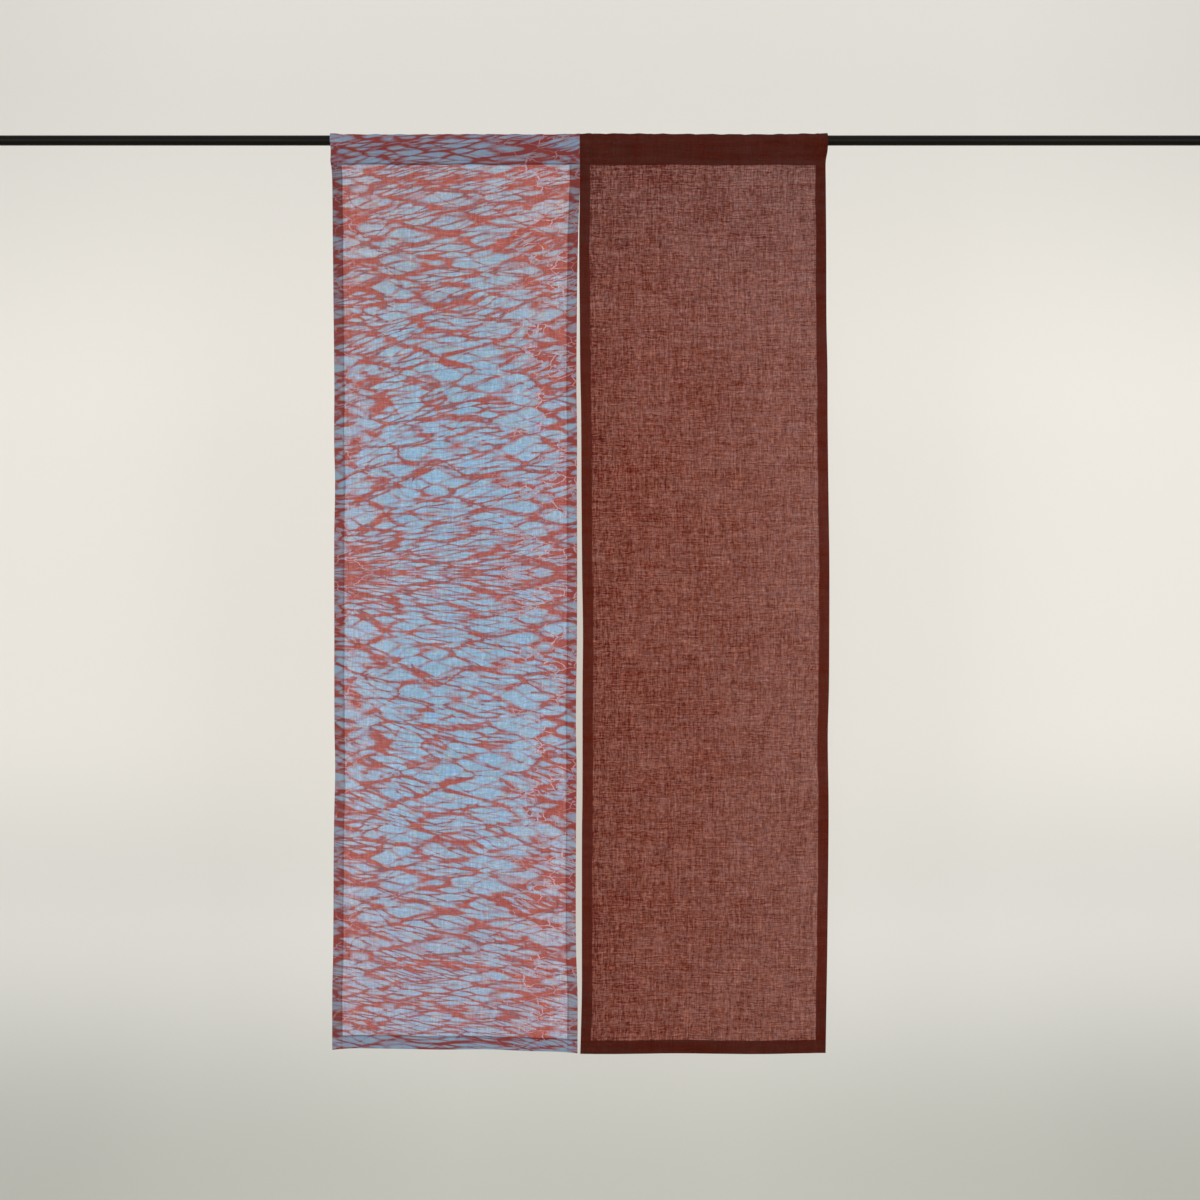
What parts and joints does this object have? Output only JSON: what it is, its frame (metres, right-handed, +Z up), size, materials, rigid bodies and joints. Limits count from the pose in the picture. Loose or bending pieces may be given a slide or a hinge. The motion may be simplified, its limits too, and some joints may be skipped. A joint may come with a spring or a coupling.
{
  "type": "noren curtain on a rod",
  "caption": "Doorway noren of joined linen panels, patterned and plain, with a slit between them, hung by its rod pocket from a thin black rod.",
  "frame": {"origin": "centre of the rod's left end face", "axes": "+X along the rod to the viewer's right, +Y away from the viewer, +Z up"},
  "size_m": [2, 0.0206, 1.4987],
  "materials": {
    "rod": "satin black",
    "panel_patterned": "open-weave linen, pale blue with brick-red veins",
    "panel_plain": "open-weave linen, red-brown"
  },
  "bodies": {
    "root": {"rod": "rod", "panel_patterned": "panel_patterned", "panel_plain": "panel_plain"}
  },
  "joints": []
}
